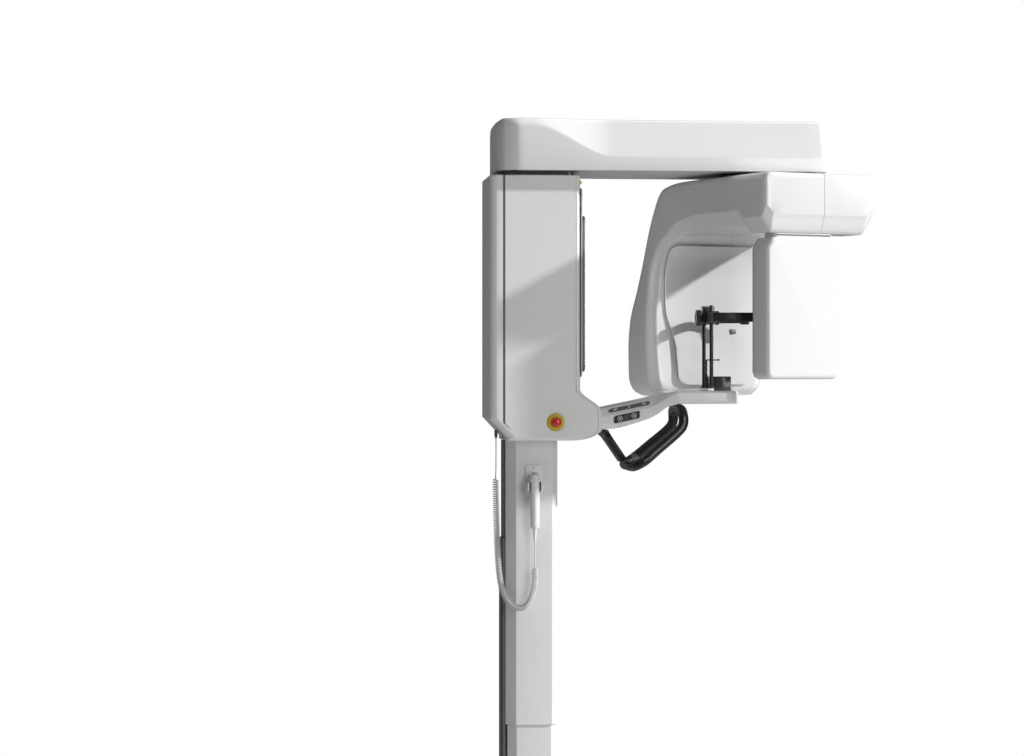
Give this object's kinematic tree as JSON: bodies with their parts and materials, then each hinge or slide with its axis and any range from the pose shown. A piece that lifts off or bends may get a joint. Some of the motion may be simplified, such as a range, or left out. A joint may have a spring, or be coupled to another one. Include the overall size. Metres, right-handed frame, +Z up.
{
  "type": "panoramic x-ray machine",
  "caption": "Dental panoramic x-ray machine: telescopic lift column, overhead arm, rotating C-arm with sensor and tube head, mirror, chin shelf with head support, handset on a curly cord.",
  "frame": {"origin": "on the floor, under the centre of the lift column, on the floor plate's underside", "axes": "+Z up; the patient stands on the -Y side and faces +Y; +X is to the right when looking along +Y"},
  "size_m": [0.6914, 1.0672, 2.2],
  "materials": {
    "floor_plate": "satin powder coat",
    "white_cover": "satin gloss moulded and painted",
    "white_metal": "satin paint",
    "steel": "brushed",
    "chrome_rod": "polished",
    "black_plastic": "satin",
    "black_metal": "satin",
    "grey_gloss": "high gloss",
    "under_grey": "satin",
    "mirror_glass": "polished",
    "lamp_green": "lit lens",
    "safety_yellow": "satin",
    "stop_red": "gloss",
    "key_grey": "satin",
    "pad_rubber": "soft",
    "belt_rubber": "matte",
    "clear_smoke": "clear acrylic",
    "tube_glass": "clear",
    "cord_grey": "soft satin",
    "board_green": "solder mask"
  },
  "bodies": {
    "base": {"base_plate": "floor_plate", "inner_column": "white_metal", "cable_rail": "black_metal", "actuator_tube": "steel", "foot_cover": "white_cover"},
    "power_rocker": {"power_switch": "black_plastic"},
    "lift": {"outer_column": "white_metal", "column_back_strip": "black_plastic", "actuator_rod": "chrome_rod", "carriage_rear": "white_cover", "carriage_front": "white_cover", "control_board": "board_green", "neck_plate": "black_metal", "mirror_surround": "grey_gloss", "mirror": "mirror_glass", "status_lamp": "lamp_green", "estop_ring": "safety_yellow", "arm_cover": "white_cover", "arm_underside": "under_grey", "arm_beam": "steel", "shelf_arm": "white_metal", "shelf_plate": "white_metal", "touch_strip": "black_plastic", "control_plate": "black_plastic", "handle_loop": "black_plastic", "handle_strut": "black_plastic", "support_rods": "black_metal", "head_bridge": "black_plastic", "chin_rest": "clear_smoke", "handset_holder": "white_cover", "cord_gland": "cord_grey", "cord_lead": "cord_grey", "cord_coil": "cord_grey", "cord_tail": "cord_grey"},
    "estop": {"estop_button": "stop_red"},
    "down_key": {"key_down": "key_grey"},
    "up_key": {"key_up": "key_grey"},
    "left_temple": {"temple_left": "black_plastic"},
    "right_temple": {"temple_right": "black_plastic"},
    "knob": {"temple_knob": "black_plastic"},
    "forehead": {"forehead_pad": "pad_rubber"},
    "bite": {"bite_rod": "black_plastic"},
    "hand_switch": {"handset": "white_cover", "strain_relief": "cord_grey"},
    "exposure": {"exposure_button": "key_grey"},
    "carrier": {"cross_slide": "steel", "swivel_bearing": "steel", "rotation_motor": "black_metal", "drive_belt": "belt_rubber"},
    "pinion": {"drive_pulley": "steel"},
    "c_arm": {"swivel_hub": "black_metal", "c_front_cover": "white_cover", "c_rear_cover": "white_cover", "tube_inner_panel": "white_cover", "collimator": "black_metal", "tube_tank": "steel", "x_ray_tube": "tube_glass", "sensor_housing": "white_cover", "sensor_window": "black_plastic", "sensor_panel": "board_green"}
  },
  "joints": [
    {"name": "lift_travel", "type": "slide", "parent": "base", "child": "lift", "axis": [0, 0, 1], "range_m": [-0.59, 0.21]},
    {"name": "power_rocker_tilt", "type": "hinge", "parent": "base", "child": "power_rocker", "pos_m": [0.06, 0.1612, 0.07], "axis": [1, 0, 0], "range_deg": [-6, 6]},
    {"name": "estop_press", "type": "slide", "parent": "lift", "child": "estop", "axis": [1, 0, 0], "range_m": [0, 0.004], "stiffness_N_per_m": 900},
    {"name": "down_key_press", "type": "slide", "parent": "lift", "child": "down_key", "axis": [1, 0, 0], "range_m": [0, 0.0012], "stiffness_N_per_m": 400},
    {"name": "up_key_press", "type": "slide", "parent": "lift", "child": "up_key", "axis": [1, 0, 0], "range_m": [0, 0.0012], "stiffness_N_per_m": 400},
    {"name": "left_temple_swing", "type": "hinge", "parent": "lift", "child": "left_temple", "pos_m": [-0.0925, -0.467, 1.6855], "axis": [0, 0, 1], "range_deg": [0, 14]},
    {"name": "right_temple_swing", "type": "hinge", "parent": "lift", "child": "right_temple", "pos_m": [0.0925, -0.467, 1.6855], "axis": [0, 0, 1], "range_deg": [-14, 0]},
    {"name": "knob_turn", "type": "hinge", "parent": "lift", "child": "knob", "pos_m": [0, -0.44, 1.6855], "axis": [0, 1, 0], "range_deg": [0, 140]},
    {"name": "forehead_reach", "type": "slide", "parent": "lift", "child": "forehead", "axis": [0, -1, 0], "range_m": [0, 0.02]},
    {"name": "bite_height", "type": "slide", "parent": "lift", "child": "bite", "axis": [0, 0, 1], "range_m": [0, 0.025]},
    {"name": "hand_switch_lift", "type": "slide", "parent": "lift", "child": "hand_switch", "axis": [0, 0, 1], "range_m": [0, 0.07]},
    {"name": "exposure_press", "type": "slide", "parent": "hand_switch", "child": "exposure", "axis": [0, 0, -1], "range_m": [0, 0.0025], "stiffness_N_per_m": 400},
    {"name": "carrier_travel", "type": "slide", "parent": "lift", "child": "carrier", "axis": [0, 1, 0], "range_m": [-0.03, 0.02]},
    {"name": "scan_turn", "type": "hinge", "parent": "carrier", "child": "c_arm", "pos_m": [0, -0.57, 2], "axis": [0, 0, 1], "range_deg": [-205, 2]},
    {"name": "pinion_turn", "type": "hinge", "parent": "carrier", "child": "pinion", "pos_m": [0, -0.41, 2.107], "axis": [0, 0, 1], "range_deg": [-1030, 20]}
  ],
  "couplings": [
    {"joint": "right_temple_swing", "follows": "left_temple_swing", "ratio": -1},
    {"joint": "knob_turn", "follows": "left_temple_swing", "ratio": 10},
    {"joint": "pinion_turn", "follows": "scan_turn", "ratio": 5}
  ]
}
